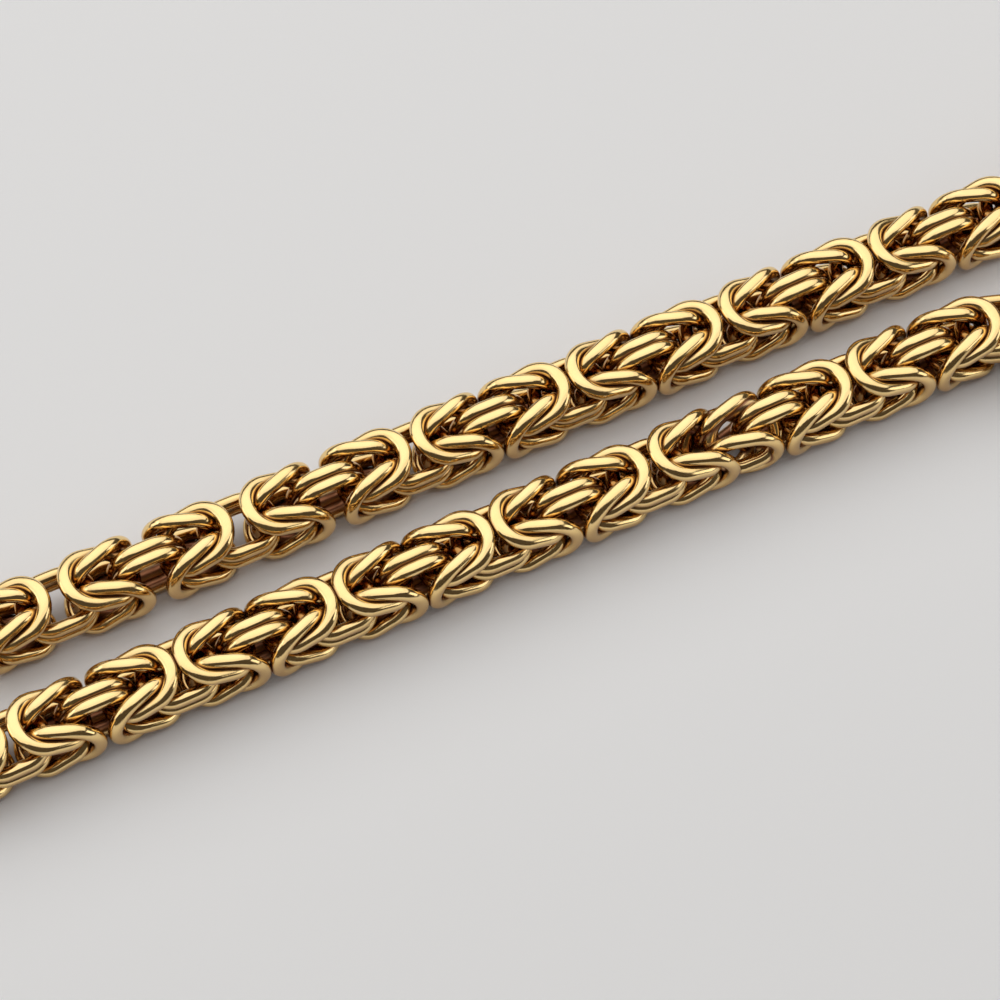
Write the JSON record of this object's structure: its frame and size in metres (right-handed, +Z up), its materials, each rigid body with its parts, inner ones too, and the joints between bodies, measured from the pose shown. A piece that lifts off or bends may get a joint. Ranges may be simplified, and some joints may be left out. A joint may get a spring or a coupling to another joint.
{
  "type": "byzantine chain necklace",
  "caption": "Heavy byzantine chain necklace of pressed oval links in folded pairs, closed by a plain box clasp and lying flat as one loop.",
  "frame": {"origin": "centre of the lying loop's bounding box, on the surface it lies on", "axes": "+X along the two straight runs towards the bend, +Y from the near run to the far run, +Z up off the surface"},
  "size_m": [0.2206, 0.056, 0.0087],
  "materials": {
    "chain_far": "polished yellow gold plate",
    "chain_near": "polished yellow gold plate",
    "clasp": "polished yellow gold plate"
  },
  "bodies": {
    "root": {"chain_far": "chain_far", "chain_near": "chain_near", "clasp": "clasp"}
  },
  "joints": []
}
